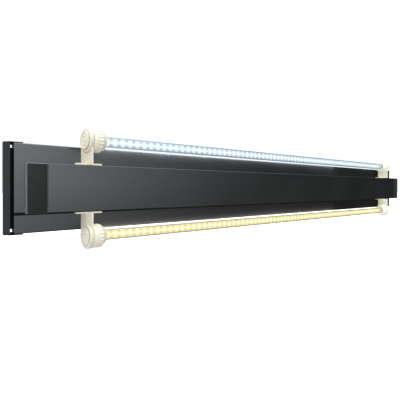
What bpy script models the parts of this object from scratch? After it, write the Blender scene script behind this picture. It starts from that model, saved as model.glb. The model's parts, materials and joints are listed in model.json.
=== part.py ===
"""LED aquarium light: a flat bar on a wide back plate, with a clear LED tube along each side.

Metres. +X runs along the lamp, +Z across it, and the lit side faces -Y. The origin is the middle of
the lamp's overall box. Depths are measured behind the front face of the bar.
"""

import math

import bmesh
import bpy
from mathutils import Matrix, Vector

MM = 0.001
GAP = 0.3 * MM

# Bar: front cover, end caps and the core housing behind them
BAR_LENGTH = 1000 * MM
BAR_SHIFT = 7 * MM
BAR_WIDTH = 55 * MM
COVER_DEPTH = 6 * MM
COVER_WALL = 1.8 * MM
COVER_EDGE = 0.7 * MM
CAP_LENGTH = 22 * MM
CAP_DEPTH = 7.4 * MM
CAP_FRAME = 1.6 * MM
CAP_RECESS = 0.5 * MM
LUG_THICKNESS = 2.7 * MM
LUG_HALF_WIDTH = 14 * MM
LUG_BACK = 20.7 * MM
GASKET_THICKNESS = 1.4 * MM
GASKET_WIDTH = 3 * MM
CORE_LENGTH = 972 * MM
CORE_FRONT = 8 * MM
CORE_BACK = 23.7 * MM
CORE_WALL = 1.7 * MM

# Back plate, a hollow flat profile
PLATE_LENGTH = 997.6 * MM
PLATE_WIDTH = 101 * MM
PLATE_FRONT = CORE_BACK + GAP
PLATE_THICKNESS = 8.4 * MM
PLATE_WALL = 1.6 * MM
PLATE_EDGE = 1.5 * MM
PLATE_BACK = PLATE_FRONT + PLATE_THICKNESS
GROOVES_Z = (-36 * MM, -24 * MM, 24 * MM, 36 * MM)
GROOVE_WIDTH = 3 * MM
GROOVE_DEPTH = 0.7 * MM

# End brackets that slide out of the plate
STRIP_WIDTH = 5.8 * MM
STRIP_START = PLATE_LENGTH / 2 + 4.2 * MM
STRIP_HALF = 50.9 * MM
STRIP_FRONT = PLATE_FRONT - 1.2 * MM
STRIP_BACK = PLATE_BACK - 0.9 * MM
STRIP_EDGE = 0.6 * MM
BRACKET_HALF = 51.8 * MM
SHOULDER_THICKNESS = 3.7 * MM
TAB_LENGTH = 10.4 * MM
TONGUE_HALF = 44.6 * MM
TONGUE_REACH = 36 * MM
TONGUE_WALL = 1.8 * MM
TAB_INSET = 0.1 * MM
OVERLAP = 1 * MM

# Lamp holders. An arm's inner face is flat, and its outer face widens toward its back edge
HEAD_INNER = 420 * MM
HEAD_OUTER = 425 * MM
HEAD_RADIUS = 14.7 * MM
HEAD_EDGE = 1 * MM
ARM_DEPTH = 24.5 * MM
ARM_INNER = HEAD_INNER + 0.2 * MM
ARM_FRONT_OUTER = HEAD_INNER + 2.3 * MM
ARM_BACK_OUTER = HEAD_OUTER
ARM_ABOVE_AXIS = 2 * MM
SPIGOT_END = HEAD_INNER - 11 * MM
SPIGOT_RADIUS = 11 * MM
BORE_RADIUS = 8.6 * MM
FLANGE_INNER = HEAD_INNER - 15.6 * MM
FLANGE_OUTER = HEAD_INNER + 17.5 * MM
FLANGE_FRONT = 1 * MM
FLANGE_BACK = 8 * MM
FLANGE_THICKNESS = 1.9 * MM
FLANGE_CORNER = 1.5 * MM
FOOT_INNER = HEAD_INNER - 6 * MM
FOOT_OUTER = HEAD_INNER + 9 * MM
FOOT_BACK = 23 * MM
FOOT_CORNER = 3 * MM
BOSS_X = HEAD_INNER + 3 * MM
BOSS_DEPTH = 15.5 * MM
BOSS_RADIUS = 4 * MM
BOSS_END_Z = 20 * MM
HOLDER_NUT_WIDTH = 2.1 * MM
HOLDER_NUT_HEIGHT = 3 * MM
DISC_RADIUS = 10.8 * MM
DISC_THICKNESS = 1.3 * MM
DISC_EDGE = 0.5 * MM
DISC_RIM = 3 * MM
INSERT_START = HEAD_INNER - 0.4 * MM
INSERT_END = HEAD_OUTER - 0.1 * MM
PIN_GROOVE = 3.8 * MM

# Tubes
TUBE_RADIUS = 8 * MM
TUBE_WALL = 0.9 * MM
TUBE_HALF = HEAD_INNER - 7 * MM
TUBE_DEPTH = 5 * MM
TUBE_Z = 57.3 * MM
PLUG_COLLAR_END = HEAD_INNER - 0.8 * MM
PLUG_SPIGOT_START = HEAD_INNER - 19 * MM
PIN_RADIUS = 1 * MM
PIN_END = HEAD_INNER + 3 * MM
PIN_OFFSET = 2.375 * MM
CARRIER_HALF = HEAD_INNER - 23 * MM
CARRIER_RADIUS = 6.8 * MM
CARRIER_FLAT = 0.8 * MM
BOARD_HALF_WIDTH = 5 * MM
BOARD_HALF_THICKNESS = 0.5 * MM
CHIP_SIZE = 3 * MM
CHIP_HEIGHT = 0.8 * MM
CHIP_PITCH = 11 * MM
CHIPS = 71

# Union nuts and seals
NUT_START = HEAD_INNER - 18.5 * MM
NUT_END = HEAD_INNER - 0.8 * MM
NUT_RADIUS = 14.4 * MM
NUT_NECK_RADIUS = 10.2 * MM
NUT_EDGE = 1 * MM
NUT_SEAT = HEAD_INNER - 14.2 * MM
NUT_SHOULDER = NUT_SEAT + 0.5 * MM
NUT_SHOULDER_RADIUS = NUT_RADIUS - 1.4 * MM
RIB_DEPTH = 0.7 * MM
SEAL_START = NUT_SEAT + GAP
SEAL_END = SPIGOT_END - 0.6 * MM
RUNNING_GAP = 0.4 * MM

# Cable gland and screws
GLAND_X = 435 * MM
GLAND_BORE = 3.8 * MM
GLAND_BARREL = 6.7 * MM
GLAND_FLANGE = 11 * MM
GLAND_HEIGHT = 7.7 * MM
GLAND_FLANGE_HEIGHT = 2.2 * MM
GLAND_NUT_RADIUS = 10 * MM
GLAND_NUT_HEIGHT = 3 * MM
PLATE_SCREWS_X = (-380 * MM, -200 * MM, 200 * MM, 380 * MM)
SCREW_RADIUS = 1.8 * MM
SCREW_HEAD_RADIUS = 3.8 * MM
SCREW_HEAD_HEIGHT = 2.1 * MM
SCREW_CROWN_RADIUS = 3 * MM
CAP_SCREW_REACH = 5 * MM
PLATE_SCREW_REACH = 2 * MM

# Driver inside the core
DRIVER_LEFT = -100 * MM
DRIVER_RIGHT = 80 * MM
DRIVER_HALF_WIDTH = 18 * MM
DRIVER_DEPTH = 19.2 * MM
DRIVER_THICKNESS = 1.6 * MM
PARTS_DEPTH = 9.5 * MM
TRANSFORMER_X = (-70 * MM, -30 * MM)
TRANSFORMER_HALF_WIDTH = 14 * MM
TRANSFORMER_CORNER = 2 * MM
CAPACITOR_X = -5 * MM
CAPACITOR_RADIUS = 6 * MM
TERMINAL_X = (50 * MM, 74 * MM)
TERMINAL_DEPTH = 10 * MM
TERMINAL_HALF_WIDTH = 15 * MM

# Leads: each leaves the terminal block, runs in a lane, and climbs to its holder's boss
LEAD_RADIUS = 1.2 * MM
LEAD_SPACING = 6 * MM
LEAD_RUN_DEPTH = 13 * MM
LEAD_STRAIGHT_Z = 16.2 * MM
LEAD_LANE_Z = 17.6 * MM
LEAD_DIP_Z = 14.2 * MM
LEAD_TURN = 2.5 * MM
LEAD_SETTLE = 16 * MM

ROUND_SIDES = 24
SMALL_SIDES = 12
TUBE_SIDES = 32

FRONT_MOST = TUBE_DEPTH - HEAD_RADIUS
BACK_MOST = PLATE_BACK + GAP + GLAND_HEIGHT
MID_DEPTH = (FRONT_MOST + BACK_MOST) / 2

SIDES = {"left": -1, "right": 1}
LEVELS = {"upper": 1, "lower": -1}


def at_depth(depth):
    """The Y of a depth behind the bar's front face."""
    return depth - MID_DEPTH


# ---------------------------------------------------------------- shapes


def box(corner_a, corner_b):
    """A block between two opposite corners."""
    low = Vector(map(min, corner_a, corner_b))
    high = Vector(map(max, corner_a, corner_b))
    shape = bmesh.new()
    bmesh.ops.create_cube(shape, size=1)
    bmesh.ops.scale(shape, vec=high - low, verts=shape.verts)
    bmesh.ops.translate(shape, vec=(high + low) / 2, verts=shape.verts)
    return shape


def rounded_box(corner_a, corner_b, axis, radius, steps):
    """A block whose four edges along one axis are rounded."""
    shape = box(corner_a, corner_b)
    index = "XYZ".index(axis)
    edges = []
    for edge in shape.edges:
        run = edge.verts[0].co - edge.verts[1].co
        if abs(run[index]) > 0.999 * run.length:
            edges.append(edge)
    bmesh.ops.bevel(
        shape, geom=edges, offset=radius, segments=steps, profile=0.5, affect="EDGES"
    )
    return shape


def wedge(near, far, near_x):
    """A box between two corners, whose face at the far x is brought in to near_x at its near y."""
    shape = box(near, far)
    for vert in shape.verts:
        if abs(vert.co.x - far[0]) < GAP / 2 and abs(vert.co.y - near[1]) < GAP / 2:
            vert.co.x = near_x
    return shape


def turned(axis, centre, outline, sides=ROUND_SIDES, ribbed=(), rib_depth=0.0):
    """A body of revolution. Its outline is (place along the axis, radius) points: a closed loop, or
    a line from the axis back to the axis. The points numbered in ribbed have every second corner
    pulled in by rib_depth."""
    shape = bmesh.new()
    rings = []
    for number, (along, radius) in enumerate(outline):
        count = sides if radius > 0 else 1
        ring = []
        for k in range(count):
            angle = 2 * math.pi * k / sides
            reach = radius - (rib_depth if number in ribbed and k % 2 else 0)
            ring.append(shape.verts.new((along, reach * math.cos(angle), reach * math.sin(angle))))
        rings.append(ring)
    pairs = list(zip(rings, rings[1:]))
    if outline[0][1] > 0:
        pairs.append((rings[-1], rings[0]))
    for near, far in pairs:
        for k in range(sides):
            corners = [near[k % len(near)], near[(k + 1) % len(near)]]
            corners += [far[(k + 1) % len(far)], far[k % len(far)]]
            shape.faces.new(list(dict.fromkeys(corners)))
    bmesh.ops.recalc_face_normals(shape, faces=shape.faces)
    if axis == "Y":
        bmesh.ops.rotate(shape, matrix=Matrix.Rotation(math.pi / 2, 3, "Z"), verts=shape.verts)
    if axis == "Z":
        bmesh.ops.rotate(shape, matrix=Matrix.Rotation(-math.pi / 2, 3, "Y"), verts=shape.verts)
    bmesh.ops.translate(shape, vec=centre, verts=shape.verts)
    return shape


def rod(axis, centre, radius, start, end, sides=ROUND_SIDES):
    """A plain cylinder along an axis."""
    outline = [(start, 0), (start, radius), (end, radius), (end, 0)]
    return turned(axis, centre, outline, sides)


def prism(outline, start, end):
    """A bar along X with the given (y, z) outline."""
    shape = bmesh.new()
    face = shape.faces.new([shape.verts.new((start, y, z)) for y, z in outline])
    made = bmesh.ops.extrude_face_region(shape, geom=[face])["geom"]
    moved = [item for item in made if isinstance(item, bmesh.types.BMVert)]
    bmesh.ops.translate(shape, vec=(end - start, 0, 0), verts=moved)
    bmesh.ops.recalc_face_normals(shape, faces=shape.faces)
    return shape


# ---------------------------------------------------------------- objects


def finish(name, colour, metallic, roughness, alpha=1.0):
    """A Principled material."""
    made = bpy.data.materials.new(name)
    made.use_nodes = True
    shader = made.node_tree.nodes["Principled BSDF"]
    shader.inputs["Base Color"].default_value = (*colour, 1)
    shader.inputs["Metallic"].default_value = metallic
    shader.inputs["Roughness"].default_value = roughness
    shader.inputs["Alpha"].default_value = alpha
    return made


def linked(name, shape):
    """An object made from a bmesh."""
    mesh = bpy.data.meshes.new(name)
    shape.to_mesh(mesh)
    shape.free()
    made = bpy.data.objects.new(name, mesh)
    bpy.context.scene.collection.objects.link(made)
    return made


def piece(name, look, shapes, cuts=(), added=(), pivot=(0, 0, 0)):
    """One sub-part: its shapes joined, its cuts taken away, then what is added joined on, and its
    origin on its joint's axis."""
    made = linked(name, shapes[0])
    tools = []
    for operation, group in (("UNION", shapes[1:]), ("DIFFERENCE", cuts), ("UNION", added)):
        for shape in group:
            tool = linked(name + "_tool", shape)
            modifier = made.modifiers.new(operation.title(), "BOOLEAN")
            modifier.operation = operation
            modifier.solver = "EXACT"
            modifier.object = tool
            tools.append(tool)
    if tools:
        depsgraph = bpy.context.evaluated_depsgraph_get()
        joined = bpy.data.meshes.new_from_object(made.evaluated_get(depsgraph))
        made.modifiers.clear()
        made.data = joined
        for tool in tools:
            bpy.data.objects.remove(tool)
    mesh = made.data
    mesh.name = name
    mesh.transform(Matrix.Translation(-Vector(pivot)))
    made.location = pivot
    mesh.materials.clear()
    mesh.materials.append(look)
    mesh.shade_smooth()
    mesh.set_sharp_from_angle(angle=math.radians(32))
    return made


# ---------------------------------------------------------------- bar


def make_front_cover(look):
    half = BAR_LENGTH / 2 - CAP_LENGTH - GAP
    wide = BAR_WIDTH / 2
    inner = wide - COVER_WALL
    shell = box((-half, at_depth(0), -wide), (half, at_depth(COVER_DEPTH), wide))
    front = [edge for edge in shell.edges if all(v.co.y < at_depth(0) + GAP for v in edge.verts)]
    bmesh.ops.bevel(
        shell, geom=front, offset=COVER_EDGE, segments=2, profile=0.5, affect="EDGES"
    )
    hollow = box(
        (-half + COVER_WALL, at_depth(COVER_WALL), -inner),
        (half - COVER_WALL, at_depth(COVER_DEPTH + MM), inner),
    )
    cover = piece("front_cover", look, [shell], [hollow])
    cover.location.x = BAR_SHIFT


def make_gasket(look):
    half = BAR_LENGTH / 2 - CAP_LENGTH - MM
    wide = BAR_WIDTH / 2 - GAP
    front = at_depth(COVER_DEPTH + GAP)
    back = at_depth(COVER_DEPTH + GAP + GASKET_THICKNESS)
    band = box((-half, front, -wide), (half, back, wide))
    opening = box(
        (-half + GASKET_WIDTH, front - MM, -wide + GASKET_WIDTH),
        (half - GASKET_WIDTH, back + MM, wide - GASKET_WIDTH),
    )
    gasket = piece("cover_gasket", look, [band], [opening])
    gasket.location.x = BAR_SHIFT


def make_end_cap(side_name, side, look, steel):
    """A framed block over the bar's end, with a lug screwed to the core's end wall."""
    inner = side * (BAR_LENGTH / 2 - CAP_LENGTH)
    outer = side * BAR_LENGTH / 2
    wide = BAR_WIDTH / 2
    block = box((inner, at_depth(0), -wide), (outer, at_depth(CAP_DEPTH), wide))
    front = [edge for edge in block.edges if all(v.co.y < at_depth(0) + GAP for v in edge.verts)]
    bmesh.ops.bevel(
        block, geom=front, offset=COVER_EDGE, segments=2, profile=0.5, affect="EDGES"
    )
    recess = box(
        (inner + side * CAP_FRAME, at_depth(-MM), -wide + CAP_FRAME),
        (outer - side * CAP_FRAME, at_depth(CAP_RECESS), wide - CAP_FRAME),
    )
    lug_start = CORE_LENGTH / 2 + GAP
    lug_end = lug_start + LUG_THICKNESS
    screw_y = at_depth((CAP_DEPTH + CORE_BACK) / 2)
    lug = box(
        (side * lug_start, at_depth(CAP_DEPTH - MM), -LUG_HALF_WIDTH),
        (side * lug_end, at_depth(LUG_BACK), LUG_HALF_WIDTH),
    )
    hole = rod("X", (0, screw_y, 0), SCREW_RADIUS + GAP, side * (lug_start - MM),
               side * (lug_end + MM), SMALL_SIDES)
    cap = piece(side_name + "_end_cap", look, [block, lug], [recess, hole])
    cap.location.x = BAR_SHIFT
    head = lug_end + GAP
    tip = CORE_LENGTH / 2 - CAP_SCREW_REACH
    outline = [
        (side * tip, 0), (side * tip, SCREW_RADIUS),
        (side * head, SCREW_RADIUS), (side * head, SCREW_HEAD_RADIUS),
        (side * (head + SCREW_HEAD_HEIGHT), SCREW_CROWN_RADIUS),
        (side * (head + SCREW_HEAD_HEIGHT), 0),
    ]
    screw = turned("X", (0, screw_y, 0), outline, SMALL_SIDES)
    screw = piece(side_name + "_cap_screw", steel, [screw])
    screw.location.x = BAR_SHIFT


def make_core(look):
    """A tray open to the front, with holes for the lamp holders, screws and gland."""
    left = BAR_SHIFT - CORE_LENGTH / 2
    right = BAR_SHIFT + CORE_LENGTH / 2
    wide = BAR_WIDTH / 2
    shell = box((left, at_depth(CORE_FRONT), -wide), (right, at_depth(CORE_BACK), wide))
    hollow = box(
        (left + CORE_WALL, at_depth(CORE_FRONT - MM), -wide + CORE_WALL),
        (right - CORE_WALL, at_depth(CORE_BACK - CORE_WALL), wide - CORE_WALL),
    )
    cuts = [hollow]
    for side in SIDES.values():
        centre = (side * BOSS_X, at_depth(BOSS_DEPTH), 0)
        cuts.append(rod("Z", centre, BOSS_RADIUS + GAP, -wide - MM, wide + MM, 16))
    for x in PLATE_SCREWS_X:
        cuts.append(
            rod("Y", (x, 0, 0), SCREW_RADIUS + GAP, at_depth(CORE_BACK - 3 * MM),
                at_depth(CORE_BACK + MM), SMALL_SIDES)
        )
    cuts.append(
        rod("Y", (GLAND_X, 0, 0), GLAND_BARREL + GAP, at_depth(CORE_BACK - 3 * MM),
            at_depth(CORE_BACK + MM))
    )
    middle = at_depth((CAP_DEPTH + CORE_BACK) / 2)
    for end, inward in ((left, 1), (right, -1)):
        cuts.append(
            rod("X", (0, middle, 0), SCREW_RADIUS + GAP, end - inward * MM, end + inward * 3 * MM,
                SMALL_SIDES)
        )
    piece("core_housing", look, [shell], cuts)


# ---------------------------------------------------------------- back plate and brackets


def make_plate(look):
    half = PLATE_LENGTH / 2
    wide = PLATE_WIDTH / 2
    shell = rounded_box(
        (-half, at_depth(PLATE_FRONT), -wide), (half, at_depth(PLATE_BACK), wide),
        "X", PLATE_EDGE, 3,
    )
    cuts = [
        box(
            (-half - MM, at_depth(PLATE_FRONT + PLATE_WALL), -wide + PLATE_WALL),
            (half + MM, at_depth(PLATE_BACK - PLATE_WALL), wide - PLATE_WALL),
        )
    ]
    for z in GROOVES_Z:
        cuts.append(
            box(
                (-half - MM, at_depth(PLATE_BACK - GROOVE_DEPTH), z - GROOVE_WIDTH / 2),
                (half + MM, at_depth(PLATE_BACK + MM), z + GROOVE_WIDTH / 2),
            )
        )
    through = (at_depth(PLATE_FRONT - MM), at_depth(PLATE_BACK + MM))
    for x in PLATE_SCREWS_X:
        cuts.append(rod("Y", (x, 0, 0), SCREW_RADIUS + GAP, *through, SMALL_SIDES))
    cuts.append(rod("Y", (GLAND_X, 0, 0), GLAND_BARREL + GAP, *through))
    piece("back_plate", look, [shell], cuts)


def make_bracket(side_name, side, look):
    """An outer strip, a U-section tongue inside the plate, and a tab over each long edge."""
    strip_end = STRIP_START + STRIP_WIDTH
    strip = rounded_box(
        (side * STRIP_START, at_depth(STRIP_FRONT), -STRIP_HALF),
        (side * strip_end, at_depth(STRIP_BACK), STRIP_HALF),
        "Z", STRIP_EDGE, 2,
    )
    front = at_depth(PLATE_FRONT + PLATE_WALL + GAP)
    back = at_depth(PLATE_BACK - PLATE_WALL - GAP)
    inner = TONGUE_HALF - TONGUE_WALL
    outline = [
        (front, -TONGUE_HALF), (back, -TONGUE_HALF), (back, -inner),
        (front + TONGUE_WALL, -inner), (front + TONGUE_WALL, inner),
        (back, inner), (back, TONGUE_HALF), (front, TONGUE_HALF),
    ]
    plate_end = PLATE_LENGTH / 2
    tongue = prism(outline, side * (plate_end - TONGUE_REACH), side * (STRIP_START + OVERLAP))
    shapes = [strip, tongue]
    shoulder_start = plate_end + GAP
    for level in LEVELS.values():
        shapes.append(
            box(
                (side * shoulder_start, front, level * (BRACKET_HALF - SHOULDER_THICKNESS)),
                (side * (STRIP_START + OVERLAP), back, level * (BRACKET_HALF - TAB_INSET)),
            )
        )
        shapes.append(
            box(
                (side * (plate_end - TAB_LENGTH), front, level * (PLATE_WIDTH / 2 + GAP)),
                (side * (shoulder_start + OVERLAP), back, level * (BRACKET_HALF - TAB_INSET)),
            )
        )
    pivot = (side * strip_end, at_depth(PLATE_FRONT), 0)
    piece(side_name + "_end_bracket", look, shapes, pivot=pivot)


# ---------------------------------------------------------------- tubes


def make_tube(level_name, level, looks):
    """A clear sleeve with a half-round carrier, an LED board and a two-pin plug at each end."""
    axis_y = at_depth(TUBE_DEPTH)
    axis_z = level * TUBE_Z
    centre = (0, axis_y, axis_z)
    inside = TUBE_RADIUS - TUBE_WALL
    sleeve = [
        (-TUBE_HALF, inside), (-TUBE_HALF, TUBE_RADIUS), (TUBE_HALF, TUBE_RADIUS), (TUBE_HALF, inside)
    ]
    piece(level_name + "_tube_sleeve", looks["clear"],
          [turned("X", centre, sleeve, TUBE_SIDES)], pivot=centre)

    start = math.asin(CARRIER_FLAT / CARRIER_RADIUS)
    steps = 12
    outline = []
    for k in range(steps + 1):
        angle = start + (math.pi - 2 * start) * k / steps
        y = axis_y + CARRIER_RADIUS * math.sin(angle)
        outline.append((y, axis_z + CARRIER_RADIUS * math.cos(angle)))
    piece(level_name + "_led_carrier", looks["aluminium"],
          [prism(outline, -CARRIER_HALF, CARRIER_HALF)], pivot=centre)

    board = box(
        (-CARRIER_HALF, axis_y - BOARD_HALF_THICKNESS, axis_z - BOARD_HALF_WIDTH),
        (CARRIER_HALF, axis_y + BOARD_HALF_THICKNESS, axis_z + BOARD_HALF_WIDTH),
    )
    chips = bmesh.new()
    for k in range(CHIPS):
        x = (k - (CHIPS - 1) / 2) * CHIP_PITCH
        middle = axis_y - BOARD_HALF_THICKNESS - CHIP_HEIGHT / 2 + 0.1 * MM
        size = Vector((CHIP_SIZE, CHIP_HEIGHT + 0.2 * MM, CHIP_SIZE))
        place = Matrix.Translation((x, middle, axis_z)) @ Matrix.Diagonal((*size, 1))
        bmesh.ops.create_cube(chips, size=1, matrix=place)
    piece(level_name + "_led_board", looks["board"], [board, chips], pivot=centre)

    for side_name, side in SIDES.items():
        outline = [
            (side * PLUG_SPIGOT_START, 0), (side * PLUG_SPIGOT_START, inside - GAP),
            (side * (TUBE_HALF + GAP), inside - GAP), (side * (TUBE_HALF + GAP), TUBE_RADIUS),
            (side * PLUG_COLLAR_END, TUBE_RADIUS), (side * PLUG_COLLAR_END, 0),
        ]
        shapes = [turned("X", centre, outline, ROUND_SIDES)]
        for pin in (-1, 1):
            pin_centre = (0, axis_y, axis_z + pin * PIN_OFFSET)
            shapes.append(
                rod("X", pin_centre, PIN_RADIUS, side * (PLUG_COLLAR_END - MM), side * PIN_END, 8)
            )
        piece(f"{level_name}_{side_name}_tube_plug", looks["plug"], shapes, pivot=centre)


# ---------------------------------------------------------------- lamp holders


def make_holder(name, side, level, looks):
    """A flange on the bar's side wall, an arm, and a round head with a threaded spigot."""
    wall_z = BAR_WIDTH / 2 + GAP
    flange_top = wall_z + FLANGE_THICKNESS
    axis = (0, at_depth(TUBE_DEPTH), level * TUBE_Z)
    flange = rounded_box(
        (side * FLANGE_INNER, at_depth(FLANGE_FRONT), level * wall_z),
        (side * FLANGE_OUTER, at_depth(FLANGE_BACK), level * flange_top),
        "Z", FLANGE_CORNER, 2,
    )
    foot = rounded_box(
        (side * FOOT_INNER, at_depth(FLANGE_BACK - FOOT_CORNER), level * wall_z),
        (side * FOOT_OUTER, at_depth(FOOT_BACK), level * flange_top),
        "Z", FOOT_CORNER, 3,
    )
    arm = wedge(
        (side * ARM_INNER, at_depth(TUBE_DEPTH - ARM_DEPTH / 2), level * (wall_z + GAP)),
        (side * ARM_BACK_OUTER, at_depth(TUBE_DEPTH + ARM_DEPTH / 2), level * (TUBE_Z + ARM_ABOVE_AXIS)),
        side * ARM_FRONT_OUTER,
    )
    head = turned("X", axis, [
        (side * SPIGOT_END, BORE_RADIUS), (side * SPIGOT_END, SPIGOT_RADIUS),
        (side * HEAD_INNER, SPIGOT_RADIUS), (side * HEAD_INNER, HEAD_RADIUS - HEAD_EDGE),
        (side * (HEAD_INNER + HEAD_EDGE), HEAD_RADIUS), (side * (HEAD_OUTER - HEAD_EDGE), HEAD_RADIUS),
        (side * HEAD_OUTER, HEAD_RADIUS - HEAD_EDGE), (side * HEAD_OUTER, BORE_RADIUS),
    ])
    clearing = rod("X", axis, (BORE_RADIUS + HEAD_RADIUS) / 2, side * HEAD_INNER, side * HEAD_OUTER, 20)
    boss_centre = (side * BOSS_X, at_depth(BOSS_DEPTH), 0)
    boss = rod("Z", boss_centre, BOSS_RADIUS, level * BOSS_END_Z,
               level * (wall_z + FLANGE_THICKNESS / 2), SMALL_SIDES)
    piece(name + "_holder", looks["holder"], [flange, foot, arm, boss], [clearing], [head])

    disc = HEAD_OUTER + GAP
    face = disc + DISC_THICKNESS
    piece(name + "_holder_cover", looks["holder"], [turned("X", axis, [
        (side * disc, 0), (side * disc, DISC_RADIUS), (side * (face - DISC_EDGE), DISC_RADIUS),
        (side * face, DISC_RADIUS - DISC_EDGE), (side * face, DISC_RADIUS - DISC_RIM),
        (side * (face - DISC_EDGE), DISC_RADIUS - DISC_RIM - DISC_EDGE), (side * (face - DISC_EDGE), 0),
    ])])

    groove = INSERT_START + PIN_GROOVE
    inner = PIN_OFFSET - PIN_RADIUS - GAP
    outer = PIN_OFFSET + PIN_RADIUS + GAP
    rim = BORE_RADIUS - GAP
    piece(name + "_socket_insert", looks["insert"], [turned("X", axis, [
        (side * INSERT_START, 0), (side * INSERT_START, inner), (side * groove, inner),
        (side * groove, outer), (side * INSERT_START, outer), (side * INSERT_START, rim),
        (side * INSERT_END, rim), (side * INSERT_END, 0),
    ], 20)])

    top = BAR_WIDTH / 2 - CORE_WALL - GAP
    bottom = top - HOLDER_NUT_HEIGHT
    outside = BOSS_RADIUS + HOLDER_NUT_WIDTH
    ring = [
        (level * bottom, BOSS_RADIUS + GAP), (level * bottom, outside),
        (level * top, outside), (level * top, BOSS_RADIUS + GAP),
    ]
    piece(name + "_holder_nut", looks["steel"], [turned("Z", boss_centre, ring, SMALL_SIDES)])


def make_union_nut(name, side, level, looks):
    """A ribbed nut with a tapered neck round the tube, and the seal ring that it presses."""
    axis = (0, at_depth(TUBE_DEPTH), level * TUBE_Z)
    hole = TUBE_RADIUS + RUNNING_GAP
    thread = SPIGOT_RADIUS + RUNNING_GAP
    outline = [
        (side * NUT_END, thread), (side * NUT_END, NUT_RADIUS - NUT_EDGE),
        (side * (NUT_END - NUT_EDGE), NUT_RADIUS), (side * (NUT_SHOULDER + NUT_EDGE), NUT_RADIUS),
        (side * NUT_SHOULDER, NUT_SHOULDER_RADIUS), (side * NUT_START, NUT_NECK_RADIUS),
        (side * NUT_START, hole), (side * NUT_SEAT, hole), (side * NUT_SEAT, thread),
    ]
    nut = turned("X", axis, outline, TUBE_SIDES, ribbed=(2, 3), rib_depth=RIB_DEPTH)
    pivot = (side * NUT_START, axis[1], axis[2])
    piece(name + "_union_nut", looks["holder"], [nut], pivot=pivot)
    ring = [
        (side * SEAL_START, TUBE_RADIUS + GAP), (side * SEAL_START, SPIGOT_RADIUS),
        (side * SEAL_END, SPIGOT_RADIUS), (side * SEAL_END, TUBE_RADIUS + GAP),
    ]
    piece(name + "_seal_ring", looks["rubber"], [turned("X", axis, ring)], pivot=pivot)


# ---------------------------------------------------------------- driver, leads, gland, screws


def make_driver(looks):
    """The board inside the core with its transformer, capacitor and terminal block."""
    back = at_depth(DRIVER_DEPTH)
    foot = back - GAP
    piece("driver_board", looks["board"], [
        box((DRIVER_LEFT, back, -DRIVER_HALF_WIDTH),
            (DRIVER_RIGHT, back + DRIVER_THICKNESS, DRIVER_HALF_WIDTH))
    ])
    piece("driver_transformer", looks["steel"], [
        rounded_box(
            (TRANSFORMER_X[0], at_depth(PARTS_DEPTH), -TRANSFORMER_HALF_WIDTH),
            (TRANSFORMER_X[1], foot, TRANSFORMER_HALF_WIDTH), "Y", TRANSFORMER_CORNER, 2,
        )
    ])
    piece("driver_capacitor", looks["rubber"], [
        rod("Y", (CAPACITOR_X, 0, 0), CAPACITOR_RADIUS, at_depth(PARTS_DEPTH), foot, 16)
    ])
    piece("terminal_block", looks["insert"], [
        box((TERMINAL_X[0], at_depth(TERMINAL_DEPTH), -TERMINAL_HALF_WIDTH),
            (TERMINAL_X[1], foot, TERMINAL_HALF_WIDTH))
    ])


def smooth_route(knots, steps):
    """Points on a smooth curve through the knots, whose bends don't overshoot between far knots."""
    ends = [knots[0], *knots, knots[-1]]
    headings = [(after - before).normalized() for before, after in zip(ends, ends[2:])]
    points = []
    for k in range(len(knots) - 1):
        near, far = knots[k], knots[k + 1]
        reach = (far - near).length
        for step in range(steps):
            t = step / steps
            blend = t * t * (3 - 2 * t)
            pull = headings[k] * (t * (1 - t) ** 2) - headings[k + 1] * (t * t * (1 - t))
            points.append(near.lerp(far, blend) + pull * reach)
    points.append(knots[-1])
    return points


def make_lead(name, side, level, look):
    """A lead from the terminal block to the end of a lamp holder's boss."""
    start_x = sum(TERMINAL_X) / 2 + side * LEAD_SPACING
    run_y = at_depth(LEAD_RUN_DEPTH)
    boss_y = at_depth(BOSS_DEPTH)
    first = level * (TERMINAL_HALF_WIDTH + GAP)
    lane = level * LEAD_LANE_Z
    end = side * BOSS_X
    knots = [
        (start_x, run_y, first), (start_x, run_y, level * LEAD_STRAIGHT_Z),
        (start_x + side * LEAD_TURN, run_y, lane), (start_x + side * LEAD_SETTLE, run_y, lane),
        (end - side * 22 * MM, run_y, lane), (end - side * 12 * MM, run_y, lane - level * MM),
        (end - side * 4 * MM, boss_y - MM, level * LEAD_DIP_Z),
        (end, boss_y, level * 16 * MM), (end, boss_y, level * (BOSS_END_Z - GAP)),
    ]
    points = smooth_route([Vector(knot) for knot in knots], 2)
    curve = bpy.data.curves.new(name + "_lead", "CURVE")
    curve.dimensions = "3D"
    curve.bevel_depth = LEAD_RADIUS
    curve.bevel_resolution = 1
    curve.use_fill_caps = True
    spline = curve.splines.new("POLY")
    spline.points.add(len(points) - 1)
    for point, place in zip(spline.points, points):
        point.co = (*place, 1)
    curve.materials.append(look)
    made = bpy.data.objects.new(name + "_lead", curve)
    bpy.context.scene.collection.objects.link(made)


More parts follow.
